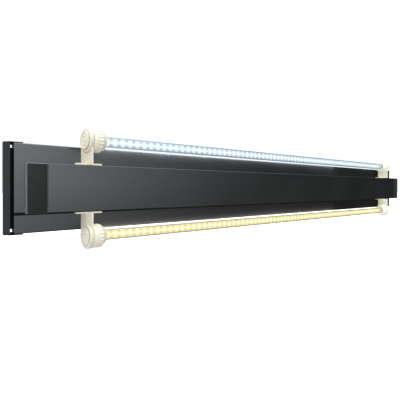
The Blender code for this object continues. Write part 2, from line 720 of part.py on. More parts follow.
def make_gland(looks):
    """The strain relief through the plate into the core, and the nut that holds it inside."""
    seat = PLATE_BACK + GAP
    inner = CORE_BACK - CORE_WALL - GAP
    nut_end = inner - GLAND_NUT_HEIGHT
    barrel_end = nut_end - GAP
    outline = [
        (at_depth(barrel_end), GLAND_BORE), (at_depth(barrel_end), GLAND_BARREL),
        (at_depth(seat), GLAND_BARREL), (at_depth(seat), GLAND_FLANGE),
        (at_depth(seat + GLAND_FLANGE_HEIGHT), GLAND_FLANGE),
        (at_depth(seat + GLAND_HEIGHT), GLAND_BARREL), (at_depth(seat + GLAND_HEIGHT), GLAND_BORE),
    ]
    piece("cable_gland", looks["rubber"], [turned("Y", (GLAND_X, 0, 0), outline)])
    ring = [
        (at_depth(nut_end), GLAND_BARREL + GAP), (at_depth(nut_end), GLAND_NUT_RADIUS),
        (at_depth(inner), GLAND_NUT_RADIUS), (at_depth(inner), GLAND_BARREL + GAP),
    ]
    piece("gland_nut", looks["insert"], [turned("Y", (GLAND_X, 0, 0), ring, SMALL_SIDES)])


def make_plate_screws(look):
    seat = at_depth(PLATE_BACK + GAP)
    tip = at_depth(CORE_BACK - CORE_WALL - PLATE_SCREW_REACH)
    outline = [
        (tip, 0), (tip, SCREW_RADIUS), (seat, SCREW_RADIUS), (seat, SCREW_HEAD_RADIUS),
        (seat + SCREW_HEAD_HEIGHT, SCREW_CROWN_RADIUS), (seat + SCREW_HEAD_HEIGHT, 0),
    ]
    for number, x in enumerate(PLATE_SCREWS_X, 1):
        piece(f"plate_screw_{number}", look, [turned("Y", (x, 0, 0), outline, SMALL_SIDES)])


def clear_scene():
    for item in list(bpy.data.objects):
        bpy.data.objects.remove(item)


def main():
    clear_scene()
    looks = {
        "bar": finish("bar_paint", (0.05, 0.055, 0.06), 0.3, 0.35),
        "plate": finish("plate_paint", (0.045, 0.05, 0.055), 0.3, 0.4),
        "matte": finish("matte_black", (0.02, 0.02, 0.022), 0.0, 0.7),
        "bracket": finish("bracket_plastic", (0.03, 0.032, 0.035), 0.0, 0.5),
        "core": finish("core_metal", (0.1, 0.1, 0.105), 0.8, 0.45),
        "holder": finish("cream_plastic", (0.82, 0.79, 0.7), 0.0, 0.35),
        "insert": finish("white_insert", (0.75, 0.75, 0.73), 0.0, 0.45),
        "clear": finish("clear_tube", (0.95, 0.97, 1.0), 0.0, 0.05, 0.25),
        "aluminium": finish("bare_aluminium", (0.75, 0.76, 0.77), 1.0, 0.35),
        "board": finish("led_board_white", (0.85, 0.85, 0.82), 0.0, 0.4),
        "plug": finish("plug_white", (0.8, 0.79, 0.75), 0.0, 0.4),
        "rubber": finish("black_rubber", (0.02, 0.02, 0.02), 0.0, 0.75),
        "steel": finish("zinc_steel", (0.6, 0.6, 0.6), 1.0, 0.35),
        "lead": finish("lead_sheath", (0.7, 0.7, 0.68), 0.0, 0.5),
    }
    make_plate(looks["plate"])
    make_core(looks["core"])
    make_front_cover(looks["bar"])
    make_gasket(looks["rubber"])
    for side_name, side in SIDES.items():
        make_end_cap(side_name, side, looks["matte"], looks["steel"])
        make_bracket(side_name, side, looks["bracket"])
    for level_name, level in LEVELS.items():
        make_tube(level_name, level, looks)
        for side_name, side in SIDES.items():
            name = f"{level_name}_{side_name}"
            make_holder(name, side, level, looks)
            make_union_nut(name, side, level, looks)
            make_lead(name, side, level, looks["lead"])
    make_driver(looks)
    make_gland(looks)
    make_plate_screws(looks["steel"])


main()
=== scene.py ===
"""Looks of the LED aquarium light. Lengths are in metres unless a name is followed by * MM."""

import json
import math

import bmesh
import bpy
from mathutils import Matrix, Vector

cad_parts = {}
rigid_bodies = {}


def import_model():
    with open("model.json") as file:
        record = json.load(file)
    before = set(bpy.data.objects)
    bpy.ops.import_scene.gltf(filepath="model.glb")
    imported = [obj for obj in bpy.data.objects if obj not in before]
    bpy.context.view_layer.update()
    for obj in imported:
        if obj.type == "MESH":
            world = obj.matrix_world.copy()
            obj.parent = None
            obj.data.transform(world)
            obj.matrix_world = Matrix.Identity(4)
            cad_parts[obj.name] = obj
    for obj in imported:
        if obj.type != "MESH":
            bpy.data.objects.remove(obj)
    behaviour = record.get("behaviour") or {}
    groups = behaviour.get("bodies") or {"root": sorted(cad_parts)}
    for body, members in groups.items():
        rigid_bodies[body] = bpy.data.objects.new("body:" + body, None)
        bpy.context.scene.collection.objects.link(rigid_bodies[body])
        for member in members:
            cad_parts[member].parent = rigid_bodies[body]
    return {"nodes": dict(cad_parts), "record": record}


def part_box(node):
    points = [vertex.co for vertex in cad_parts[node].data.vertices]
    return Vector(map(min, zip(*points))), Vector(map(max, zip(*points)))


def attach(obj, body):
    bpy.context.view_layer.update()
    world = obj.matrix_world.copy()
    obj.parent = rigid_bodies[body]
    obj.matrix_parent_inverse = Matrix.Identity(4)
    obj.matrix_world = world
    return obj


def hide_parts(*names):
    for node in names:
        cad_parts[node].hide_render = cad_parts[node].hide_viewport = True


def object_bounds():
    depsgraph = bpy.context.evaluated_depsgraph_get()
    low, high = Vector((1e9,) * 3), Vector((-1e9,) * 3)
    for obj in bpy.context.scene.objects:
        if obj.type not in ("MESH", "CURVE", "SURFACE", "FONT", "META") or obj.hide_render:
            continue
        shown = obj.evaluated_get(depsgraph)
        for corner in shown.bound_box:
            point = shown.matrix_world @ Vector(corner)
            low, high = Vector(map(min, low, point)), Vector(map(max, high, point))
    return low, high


MM = 0.001
SIDES = {"left": -1, "right": 1}
LEVELS = {"upper": 1, "lower": -1}

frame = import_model()
cad_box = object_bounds()

# Places read from the frame
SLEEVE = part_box("upper_tube_sleeve")
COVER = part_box("front_cover")
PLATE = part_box("back_plate")
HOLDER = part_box("upper_right_holder")
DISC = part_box("upper_right_holder_cover")
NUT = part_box("upper_right_union_nut")
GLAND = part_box("cable_gland")
TUBE_Y = (SLEEVE[0].y + SLEEVE[1].y) / 2
TUBE_Z = (SLEEVE[0].z + SLEEVE[1].z) / 2
TUBE_RADIUS = (SLEEVE[1].z - SLEEVE[0].z) / 2
TUBE_HALF = SLEEVE[1].x
BAR_FRONT = COVER[0].y
BAR_HALF_WIDTH = COVER[1].z
PLATE_FRONT = PLATE[0].y
PLATE_BACK = PLATE[1].y

# Sizes of the detailed pieces
TUBE_WALL = 0.9 * MM
CHIPS = 71
CHIP_PITCH = 11 * MM
CHIP_HALF = 1.5 * MM
CHIP_HEIGHT = 0.8 * MM
FLANGE_THICKNESS = 1.9 * MM
HEAD_OUTER = DISC[0].x - 0.3 * MM
HEAD_THICKNESS = 5 * MM
HEAD_INNER = HEAD_OUTER - HEAD_THICKNESS
HEAD_RADIUS = 14.7 * MM
ARM_HALF_DEPTH = 12.25 * MM
ARM_INNER = HEAD_INNER + 0.2 * MM
ARM_FRONT_OUTER = HEAD_INNER + 2.3 * MM
SPIGOT_RADIUS = 11 * MM
THREAD_DEPTH = 0.6 * MM
THREAD_PITCH = 3 * MM
THREAD_TURNS = 3
SPIGOT_END = HEAD_INNER - 11 * MM
BORE_RADIUS = 8.6 * MM
NUT_RADIUS = 14.4 * MM
NUT_NECK_RADIUS = 10.2 * MM
NUT_THREAD_RADIUS = 11.4 * MM
NUT_HOLE_RADIUS = 8.4 * MM


# ---------------------------------------------------------------- material nodes


def start(name, colour, roughness, metallic=0.0):
    """A material with one Principled shader, and its node tree."""
    made = bpy.data.materials.new(name)
    made.use_nodes = True
    tree = made.node_tree
    shader = tree.nodes["Principled BSDF"]
    shader.inputs["Base Color"].default_value = (*colour, 1)
    shader.inputs["Roughness"].default_value = roughness
    shader.inputs["Metallic"].default_value = metallic
    return made, tree, shader


def stretched(tree, scale=(1, 1, 1)):
    """The piece's own coordinates in metres, scaled along each axis."""
    where = tree.nodes.new("ShaderNodeTexCoord")
    mapping = tree.nodes.new("ShaderNodeMapping")
    mapping.inputs["Scale"].default_value = scale
    tree.links.new(where.outputs["Object"], mapping.inputs["Vector"])
    return mapping.outputs["Vector"]


def noise(tree, vector, scale, detail=2.0):
    made = tree.nodes.new("ShaderNodeTexNoise")
    made.inputs["Scale"].default_value = scale
    made.inputs["Detail"].default_value = detail
    tree.links.new(vector, made.inputs["Vector"])
    return made.outputs["Fac"]


def cells(tree, vector, scale):
    made = tree.nodes.new("ShaderNodeTexVoronoi")
    made.inputs["Scale"].default_value = scale
    tree.links.new(vector, made.inputs["Vector"])
    return made.outputs["Distance"]


def between(tree, factor, low, high, start_at=0.3, end_at=0.7):
    """A value from low to high, as the factor goes from start_at to end_at."""
    made = tree.nodes.new("ShaderNodeMapRange")
    made.inputs["From Min"].default_value = start_at
    made.inputs["From Max"].default_value = end_at
    made.inputs["To Min"].default_value = low
    made.inputs["To Max"].default_value = high
    tree.links.new(factor, made.inputs["Value"])
    return made.outputs["Result"]


def coloured(tree, factor, stops):
    """A colour ramp with (position, colour) stops."""
    made = tree.nodes.new("ShaderNodeValToRGB")
    elements = made.color_ramp.elements
    elements[0].position = stops[0][0]
    elements[0].color = (*stops[0][1], 1)
    elements[1].position = stops[-1][0]
    elements[1].color = (*stops[-1][1], 1)
    for position, colour in stops[1:-1]:
        elements.new(position).color = (*colour, 1)
    tree.links.new(factor, made.inputs["Fac"])
    return made.outputs["Color"]


def bumped(tree, shader, heights):
    """Bumps in a row, each with its own (height, strength, distance)."""
    normal = None
    for height, strength, distance in heights:
        made = tree.nodes.new("ShaderNodeBump")
        made.inputs["Strength"].default_value = strength
        made.inputs["Distance"].default_value = distance
        tree.links.new(height, made.inputs["Height"])
        if normal:
            tree.links.new(normal, made.inputs["Normal"])
        normal = made.outputs["Normal"]
    tree.links.new(normal, shader.inputs["Normal"])


def shade(colour, by):
    return tuple(channel * by for channel in colour)


def worked(tree, operation, *values):
    """A Math node on sockets or plain numbers."""
    made = tree.nodes.new("ShaderNodeMath")
    made.operation = operation
    for socket, value in zip(made.inputs, values):
        if isinstance(value, (int, float)):
            socket.default_value = value
        else:
            tree.links.new(value, socket)
    return made.outputs[0]


# ---------------------------------------------------------------- materials


def satin_paint(name, colour, roughness, ior):
    """Black coated aluminium: orange peel, faint lines of the extrusion, cloudy gloss."""
    made, tree, shader = start(name, colour, roughness)
    shader.inputs["IOR"].default_value = ior
    plain = stretched(tree)
    lines = noise(tree, stretched(tree, (6, 420, 420)), 1.0, 3.0)
    clouds = noise(tree, plain, 9.0, 3.0)
    peel = noise(tree, plain, 1300.0, 1.0)
    tint = coloured(tree, clouds, [(0.3, shade(colour, 0.75)), (0.7, shade(colour, 1.3))])
    tree.links.new(tint, shader.inputs["Base Color"])
    gloss = worked(
        tree, "ADD",
        between(tree, clouds, roughness - 0.02, roughness + 0.02),
        between(tree, lines, -0.02, 0.02),
    )
    tree.links.new(gloss, shader.inputs["Roughness"])
    bumped(tree, shader, [(lines, 0.04, 0.05 * MM), (peel, 0.06, 0.05 * MM)])
    return made


def satin_with_painted_light(name, colour, roughness, ior, along, painted_rise, painted_shadow_band):
    """Coated aluminium with painted light. Its gloss strength is a painted reflection that goes from
    along[0] to along[1] away from the left end, and by the two rise factors from bottom to top.
    It fades out between the two heights of the painted shadow band under the bar: a painted shadow."""
    made = satin_paint(name, colour, roughness, ior)
    tree = made.node_tree
    shader = tree.nodes["Principled BSDF"]
    x, y, z = apart(tree)
    height = between(tree, z, *painted_rise, -45 * MM, 45 * MM)
    level = worked(tree, "MULTIPLY", between(tree, x, *along, -0.46, -0.26), height)
    middle = (painted_shadow_band[0] + painted_shadow_band[1]) / 2
    reach = (painted_shadow_band[1] - painted_shadow_band[0]) / 2
    away = worked(tree, "ABSOLUTE", worked(tree, "SUBTRACT", z, middle))
    clear = between(tree, away, 0.06, 1.0, reach, reach + 0.5 * MM)
    # Painted light: the specular level is a painted reflection that falls off from the left end and
    # rises up the piece, and it drops in the painted shadow band under the bar.
    tree.links.new(worked(tree, "MULTIPLY", level, clear), shader.inputs["Specular IOR Level"])
    return made


def moulded_plastic(name, colour, roughness, grain=900.0, grain_strength=0.12, mottle=0.05):
    """Injection-moulded plastic with a spark-eroded grain and a slightly uneven colour."""
    made, tree, shader = start(name, colour, roughness)
    plain = stretched(tree)
    clouds = noise(tree, plain, 60.0, 4.0)
    pits = cells(tree, plain, grain)
    fine = noise(tree, plain, grain * 1.7, 2.0)
    tint = coloured(
        tree, clouds, [(0.3, shade(colour, 1 - mottle)), (0.7, shade(colour, 1 + mottle))]
    )
    tree.links.new(tint, shader.inputs["Base Color"])
    tree.links.new(
        between(tree, fine, roughness - 0.06, roughness + 0.06), shader.inputs["Roughness"]
    )
    bumped(tree, shader, [(pits, grain_strength, 0.08 * MM), (fine, grain_strength, 0.05 * MM)])
    return made


def cream_with_painted_glow(name, colour, roughness):
    """The lamp holders' plastic, with a painted glow: toward the tube it emits light that stands in for
    the tube's light falling on it, more strongly toward the right end.
    """
    made = moulded_plastic(name, colour, roughness, 700.0, 0.06, 0.03)
    tree = made.node_tree
    shader = tree.nodes["Principled BSDF"]
    x, y, z = apart(tree)
    reach = worked(tree, "ABSOLUTE", x)
    near_tube = between(tree, reach, 1.0, 0.0, HEAD_INNER - MM, HEAD_INNER + 2.4 * MM)
    soft = between(tree, noise(tree, stretched(tree), 90.0, 2.0), 0.85, 1.15)
    strength = between(tree, x, *HOLDER_PAINTED_GLOW, -TUBE_HALF, TUBE_HALF)
    # Painted glow: emission near the tube end stands in for the tube's light on the holder.
    glow = worked(tree, "MULTIPLY", worked(tree, "MULTIPLY", near_tube, soft), strength)
    tree.links.new(glow, shader.inputs["Emission Strength"])
    shader.inputs["Emission Color"].default_value = (1.0, 0.95, 0.82, 1)
    return made


def bracket_with_painted_shade(name, colour, roughness):
    """Bracket plastic with painted shade: darker and less glossy inboard of the strip, along its top and
    bottom, and on its end.
    """
    made = moulded_plastic(name, colour, roughness, 1100.0, 0.1, 0.1)
    tree = made.node_tree
    shader = tree.nodes["Principled BSDF"]
    x, y, z = apart(tree)
    inboard = worked(tree, "LESS_THAN", worked(tree, "ABSOLUTE", x), STRIP_START)
    outermost = between(tree, worked(tree, "ABSOLUTE", z), 0.0, 1.0, STRIP_TOP - MM, STRIP_TOP)
    end_face = between(tree, worked(tree, "ABSOLUTE", x), 0.0, 0.8, STRIP_END - 0.6 * MM, STRIP_END)
    # Painted shade: the colour and the specular level drop in the gap inboard of the strip, along its
    # top and bottom edges and on its end face.
    painted_shade = worked(tree, "MAXIMUM", worked(tree, "MAXIMUM", inboard, outermost), end_face)
    tint = shader.inputs["Base Color"].links[0].from_socket
    dim = tree.nodes.new("ShaderNodeVectorMath")
    dim.operation = "SCALE"
    tree.links.new(tint, dim.inputs[0])
    tree.links.new(between(tree, painted_shade, 1.0, 0.12, 0.0, 1.0), dim.inputs["Scale"])
    tree.links.new(dim.outputs[0], shader.inputs["Base Color"])
    tree.links.new(between(tree, painted_shade, 0.17, 0.03, 0.0, 1.0), shader.inputs["Specular IOR Level"])
    return made


def brushed_metal(name, colour, roughness, stretch):
    """Bare metal with fine lines along one axis."""
    made, tree, shader = start(name, colour, roughness, 1.0)
    lines = noise(tree, stretched(tree, stretch), 1.0, 4.0)
    smudges = noise(tree, stretched(tree), 45.0, 3.0)
    tint = coloured(tree, lines, [(0.3, shade(colour, 0.8)), (0.7, colour)])
    tree.links.new(tint, shader.inputs["Base Color"])
    gloss = worked(
        tree, "ADD",
        between(tree, lines, roughness - 0.06, roughness + 0.06),
        between(tree, smudges, -0.04, 0.06),
    )
    tree.links.new(gloss, shader.inputs["Roughness"])
    bumped(tree, shader, [(lines, 0.15, 0.05 * MM)])
    return made


def painted_light_cap_trim(name, pale, dark):
    """The cap's rim, with painted light: a pale painted highlight along its top and front where light
    grazes it, and dark painted shade along its under edge and its back.
    """
    made = satin_paint(name, pale, 0.4, 1.5)
    tree = made.node_tree
    shader = tree.nodes["Principled BSDF"]
    x, y, z = apart(tree)
    above = between(tree, z, 0.0, 1.0, -BAR_HALF_WIDTH + 0.1 * MM, -BAR_HALF_WIDTH + 0.8 * MM)
    outer = worked(tree, "LESS_THAN", y, BAR_FRONT + 6.5 * MM)
    top = between(tree, z, 0.6, 1.0, BAR_HALF_WIDTH - 1.2 * MM, BAR_HALF_WIDTH - 0.9 * MM)
    lit = worked(tree, "MULTIPLY", worked(tree, "MULTIPLY", above, outer), top)
    streaks = between(tree, noise(tree, stretched(tree, (90, 90, 30)), 1.0, 3.0), -0.2, 0.2)
    factor = worked(tree, "MULTIPLY_ADD", streaks, lit, lit)
    # Painted light: the colour ramps from dark painted shade to a pale painted highlight.
    tree.links.new(coloured(tree, factor, [(0.0, dark), (1.0, pale)]), shader.inputs["Base Color"])
    return made


def printed_board(name, mask, copper):
    """Solder mask over tracks that run along the board."""
    made, tree, shader = start(name, mask, 0.4)
    plain = stretched(tree)
    tracks = noise(tree, stretched(tree, (25, 900, 900)), 1.0, 1.0)
    tint = coloured(tree, tracks, [(0.42, mask), (0.5, copper), (0.58, mask)])
    tree.links.new(tint, shader.inputs["Base Color"])
    speckle = noise(tree, plain, 800.0, 2.0)
    tree.links.new(between(tree, speckle, 0.32, 0.48), shader.inputs["Roughness"])
    bumped(tree, shader, [(tracks, 0.2, 0.05 * MM)])
    return made


def lit_phosphor(name, colour, strength):
    """The glowing window or package of an LED chip, uneven with phosphor grains."""
    made, tree, shader = start(name, shade(colour, 0.4), 0.5)
    grains = noise(tree, stretched(tree), 5200.0, 3.0)
    glow = coloured(tree, grains, [(0.25, shade(colour, 0.8)), (0.6, colour)])
    tree.links.new(glow, shader.inputs["Emission Color"])
    shader.inputs["Emission Strength"].default_value = strength
    bumped(tree, shader, [(grains, 0.2, 0.02 * MM)])
    return made


def squared(tree, value):
    return worked(tree, "MULTIPLY", value, value)


def falling(tree, distance):
    """A bell curve of a squared distance."""
    return worked(tree, "EXPONENT", worked(tree, "MULTIPLY", distance, -1.0))


def apart(tree):
    """The piece's own x, y and z."""
    where = tree.nodes.new("ShaderNodeTexCoord")
    parts = tree.nodes.new("ShaderNodeSeparateXYZ")
    tree.links.new(where.outputs["Object"], parts.inputs["Vector"])
    return parts.outputs


def from_chip(tree, x):
    """How far along the row a place is from the nearest chip, in metres."""
    step = worked(tree, "FRACT", worked(tree, "MULTIPLY_ADD", x, 1 / CHIP_PITCH, 0.5))
    return worked(tree, "MULTIPLY", worked(tree, "SUBTRACT", step, 0.5), CHIP_PITCH)


def board_with_painted_glow(name, mask, stops, strength):
    """White solder mask with a painted glow: emission, bright round each chip and along the row, stands
    in for the light of its own chips.
    """
    made, tree, shader = start(name, mask, 0.4)
    x, y, z = apart(tree)
    along = worked(tree, "MULTIPLY", from_chip(tree, x), 1 / GLOW_ALONG)
    across = worked(tree, "MULTIPLY", z, 1 / GLOW_ACROSS)
    round_chip = falling(tree, worked(tree, "ADD", squared(tree, along), squared(tree, across)))
    row = falling(tree, squared(tree, worked(tree, "MULTIPLY", z, 1 / ROW_WIDTH)))
    total = worked(tree, "MULTIPLY_ADD", row, ROW_LIGHT, round_chip)
    tracks = noise(tree, stretched(tree, (25, 900, 900)), 1.0, 1.0)
    uneven = worked(tree, "ADD", total, between(tree, tracks, -0.05, 0.05))
    # Painted glow: the emission colour stands in for chip light falling on the board.
    glow = coloured(tree, uneven, stops)
    tree.links.new(glow, shader.inputs["Emission Color"])
    shader.inputs["Emission Strength"].default_value = strength
    tint = coloured(tree, tracks, [(0.42, mask), (0.5, shade(mask, 0.85)), (0.58, mask)])
    tree.links.new(tint, shader.inputs["Base Color"])
    bumped(tree, shader, [(tracks, 0.2, 0.05 * MM)])
    return made


def sleeve_with_painted_rim(name, tint, glow, strength):
    """The clear tube, glowing faintly, with a painted highlight: emission set by the angle round the
    tube paints a bright line at each side.
    """
    made, tree, shader = start(name, tint, 0.1)
    shader.inputs["Alpha"].default_value = SLEEVE_ALPHA
    shader.inputs["IOR"].default_value = 1.5
    x, y, z = apart(tree)
    turn = worked(tree, "ARCTAN2", z, worked(tree, "MULTIPLY", y, -1.0))
    # Painted highlight: the bright line follows the angle round the tube, between RIM_START and RIM_END.
    rim = between(tree, worked(tree, "ABSOLUTE", turn), 0.0, 1.0, RIM_START, RIM_END)
    patches = noise(tree, stretched(tree, (60, 260, 260)), 1.0, 2.0)
    uneven = worked(tree, "ADD", rim, between(tree, patches, -0.05, 0.05))
    light = coloured(tree, uneven, [(0.0, shade(glow, 0.1)), (1.0, glow)])
    tree.links.new(light, shader.inputs["Emission Color"])
    shader.inputs["Emission Strength"].default_value = strength
    tree.links.new(between(tree, patches, 0.07, 0.15), shader.inputs["Roughness"])
    return made


# Places and strengths that the materials use
STRIP_START = PLATE[1].x + 4.1 * MM
STRIP_TOP = 50.9 * MM
STRIP_END = PLATE[1].x + 10.0 * MM
# Strength of the holders' painted glow, from the left end to the right.
HOLDER_PAINTED_GLOW = (0.10, 0.24)
SLEEVE_ALPHA = 0.16
RIM_START = 0.85
RIM_END = 1.5
GLOW_ALONG = 3.8 * MM
GLOW_ACROSS = 6.6 * MM
ROW_WIDTH = 2.2 * MM
ROW_LIGHT = 0.7
COOL = (0.74, 0.91, 1.0)
WARM = (1.0, 0.84, 0.41)
COOL_STOPS = [(0.0, (0.19, 0.28, 0.36)), (0.45, (0.52, 0.70, 0.82)), (0.8, (0.95, 1.0, 1.0))]
WARM_STOPS = [(0.0, (0.66, 0.50, 0.11)), (0.45, (0.90, 0.75, 0.27)), (0.8, (1.0, 0.95, 0.53))]

LOOKS = {
    # Painted light in both paints: the last three arguments are the painted reflection falloff from the
    # left end, the painted brightening from bottom to top, and the heights of the painted shadow band
    # under the bar.
    "bar_paint": satin_with_painted_light(
        "bar_satin_black", (0.0095, 0.0092, 0.0088), 0.33, 1.85,
        (0.5, 0.47), (1.0, 1.0), (-28 * MM, -26.7 * MM),
    ),
    "plate_paint": satin_with_painted_light(
        "plate_satin_black", (0.0092, 0.0088, 0.0086), 0.33, 1.95,
        (0.55, 0.42), (0.78, 1.16), (-29.9 * MM, -27 * MM),
    ),
    "matte_black": moulded_plastic("cap_matte_black", (0.0085, 0.0080, 0.0072), 0.75, 1500.0, 0.1, 0.12),
    "bracket_plastic": bracket_with_painted_shade("bracket_black", (0.036, 0.036, 0.0365), 0.5),
    "core_metal": brushed_metal("core_anodised", (0.1, 0.1, 0.105), 0.42, (8, 700, 700)),
    "cream_plastic": cream_with_painted_glow("lamp_holder_cream", (0.87, 0.785, 0.62), 0.36),
    "white_insert": moulded_plastic("insert_white", (0.72, 0.72, 0.70), 0.45, 900.0, 0.08, 0.03),
    "aluminium": brushed_metal("carrier_aluminium", (0.74, 0.75, 0.77), 0.32, (6, 900, 900)),
    "led_board": printed_board("led_board_white", (0.82, 0.83, 0.82), (0.70, 0.72, 0.70)),
    "plug_white": moulded_plastic("plug_white", (0.78, 0.77, 0.73), 0.4, 900.0, 0.06, 0.03),
    "black_rubber": moulded_plastic("rubber_black", (0.018, 0.018, 0.018), 0.72, 1200.0, 0.15, 0.2),
    "zinc_steel": brushed_metal("screw_zinc", (0.58, 0.58, 0.56), 0.3, (900, 40, 900)),
    "lead_sheath": moulded_plastic("lead_sheath_grey", (0.62, 0.62, 0.60), 0.5, 1200.0, 0.06, 0.04),
}
DRIVER_GREEN = printed_board("driver_board_green", (0.02, 0.09, 0.04), (0.05, 0.16, 0.07))
PAINTED_LIGHT_CAP_TRIM = painted_light_cap_trim("cap_trim_painted_highlight", (0.19, 0.19, 0.195), (0.012, 0.012, 0.012))
BOARDS = {
    "upper": board_with_painted_glow("board_cool", (0.10, 0.12, 0.13), COOL_STOPS, 1.0),
    "lower": board_with_painted_glow("board_warm", (0.13, 0.12, 0.08), WARM_STOPS, 1.0),
}
SLEEVES = {
    "upper": sleeve_with_painted_rim("sleeve_cool", (0.5, 0.58, 0.64), COOL, 1.0),
    "lower": sleeve_with_painted_rim("sleeve_warm", (0.66, 0.6, 0.44), WARM, 1.1),
}
PHOSPHORS = {
    "upper": lit_phosphor("phosphor_cool", (0.88, 1.0, 1.0), 1.5),
    "lower": lit_phosphor("phosphor_warm", (1.0, 0.96, 0.72), 1.5),
}
PACKAGES = {
    "upper": lit_phosphor("package_cool", (0.84, 0.98, 1.0), 1.1),
    "lower": lit_phosphor("package_warm", (1.0, 0.95, 0.66), 1.1),
}


# ---------------------------------------------------------------- shapes


def softened(outline, steps=4):
    """An outline of (along, across, corner radius) points with its corners rounded."""
    points = []
    count = len(outline)
    for k, (along, across, radius) in enumerate(outline):
        corner = Vector((along, across))
        if radius <= 0:
            points.append(corner)
            continue
        before = Vector(outline[k - 1][:2]) - corner
        after = Vector(outline[(k + 1) % count][:2]) - corner
        half = before.angle(after) / 2
        middle = corner + (before.normalized() + after.normalized()).normalized() * (
            radius / math.sin(half)
        )
        first = (corner + before.normalized() * (radius / math.tan(half)) - middle).normalized()
        last = (corner + after.normalized() * (radius / math.tan(half)) - middle).normalized()
        for step in range(steps + 1):
            points.append(middle + first.slerp(last, step / steps) * radius)
    return points


def lathe(outline, sides=64, ribs=0, ribbed=None, rib_depth=0.0):
    """A ring or solid turned about X from a closed outline of (along, radius) points. Between the
    two places in ribbed, the surface outside the middle radius has ribs."""
    shape = bmesh.new()
    rings = []
    for along, radius in outline:
        if radius < 1e-7:
            rings.append([shape.verts.new((along, 0, 0))])
            continue
        ring = []
        for k in range(sides):
            angle = 2 * math.pi * k / sides
            reach = radius
            if ribbed and min(ribbed) <= along <= max(ribbed) and radius > NUT_THREAD_RADIUS:
                wave = 0.5 + 0.5 * math.tanh(2.5 * math.cos(ribs * angle))
                reach -= rib_depth * (1 - wave)
            ring.append(shape.verts.new((along, reach * math.cos(angle), reach * math.sin(angle))))
        rings.append(ring)
    for near, far in zip(rings, rings[1:] + rings[:1]):
        if len(near) == 1 and len(far) == 1:
            continue
        for k in range(sides):
            corners = [near[k % len(near)], near[(k + 1) % len(near)]]
            corners += [far[(k + 1) % len(far)], far[k % len(far)]]
            shape.faces.new(list(dict.fromkeys(corners)))
    bmesh.ops.recalc_face_normals(shape, faces=shape.faces)
    return shape


def block(low, high, edge=0.0, steps=2):
    """A box between two corners, its edges rounded."""
    shape = bmesh.new()
    low, high = Vector(low), Vector(high)
    place = Matrix.Translation((low + high) / 2) @ Matrix.Diagonal((*(high - low), 1))
    bmesh.ops.create_cube(shape, size=1, matrix=place)
    if edge:
        bmesh.ops.bevel(
            shape, geom=shape.edges[:], offset=edge, segments=steps, profile=0.5, affect="EDGES"
        )
    return shape


def slab(half_x, half_y, thickness, corner, edge, steps=8):
    """A flat plate with round corners, from z 0 up to its thickness, its upper rim rounded."""
    outline = []
    for sign_x, sign_y, first in ((1, 1, 0), (-1, 1, 90), (-1, -1, 180), (1, -1, 270)):
        for k in range(steps + 1):
            angle = math.radians(first + 90 * k / steps)
            x = sign_x * (half_x - corner) + corner * math.cos(angle)
            y = sign_y * (half_y - corner) + corner * math.sin(angle)
            outline.append((x, y))
    shape = bmesh.new()
    base = shape.faces.new([shape.verts.new((x, y, 0)) for x, y in outline])
    made = bmesh.ops.extrude_face_region(shape, geom=[base])["geom"]
    moved = [item for item in made if isinstance(item, bmesh.types.BMVert)]
    bmesh.ops.translate(shape, vec=(0, 0, thickness), verts=moved)
    rim = [e for e in shape.edges if all(v.co.z > thickness / 2 for v in e.verts)]
    bmesh.ops.bevel(shape, geom=rim, offset=edge, segments=3, profile=0.5, affect="EDGES")
    bmesh.ops.recalc_face_normals(shape, faces=shape.faces)
    return shape


def moved(shape, place):
    """A shape carried by a matrix, turned right side out if that mirrors it."""
    shape.transform(place)
    if place.determinant() < 0:
        bmesh.ops.reverse_faces(shape, faces=shape.faces)
    return shape


def as_object(name, shape):
    mesh = bpy.data.meshes.new(name)
    shape.to_mesh(mesh)
    shape.free()
    made = bpy.data.objects.new(name, mesh)
    bpy.context.scene.collection.objects.link(made)
    return made


def combined(name, shapes, cuts=()):
    """The shapes united, less the cuts."""
    made = as_object(name, shapes[0])
    tools = []
    for operation, group in (("UNION", shapes[1:]), ("DIFFERENCE", cuts)):
        for shape in group:
            tool = as_object(name + "_tool", shape)
            modifier = made.modifiers.new(operation.title(), "BOOLEAN")
            modifier.operation = operation
            modifier.solver = "EXACT"
            modifier.object = tool
            tools.append(tool)
    if tools:
        depsgraph = bpy.context.evaluated_depsgraph_get()
        mesh = bpy.data.meshes.new_from_object(made.evaluated_get(depsgraph))
        made.modifiers.clear()
        made.data = mesh
        for tool in tools:
            bpy.data.objects.remove(tool)
    return made


def dress(made, look, body, replaced=(), sharp=32):
    """Gives a piece its material and its body, and hides the nodes that it stands for."""
    made.data.name = made.name
    made.data.materials.clear()
    made.data.materials.append(look)
    made.data.shade_smooth()
    made.data.set_sharp_from_angle(angle=math.radians(sharp))
    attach(made, body)
    if replaced:
        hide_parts(*replaced)
    return made


# ---------------------------------------------------------------- bar and plate


def make_cover():
    """The bar's front cover: a shallow tray with soft front edges."""
    low, high = COVER
    shape = block(low, high)
    rim = [e for e in shape.edges if all(v.co.y < low.y + MM for v in e.verts)]
    rim += [e for e in shape.edges if abs(e.verts[0].co.y - e.verts[1].co.y) > MM]
    bmesh.ops.bevel(shape, geom=rim, offset=0.8 * MM, segments=5, profile=0.5, affect="EDGES")
    wall = 1.8 * MM
    hollow = block(
        (low.x + wall, low.y + wall, low.z + wall), (high.x - wall, high.y + MM, high.z - wall)
    )
    cover = combined("bar_front_cover", [shape], [hollow])
    dress(cover, LOOKS["bar_paint"], "housing", ["front_cover"])


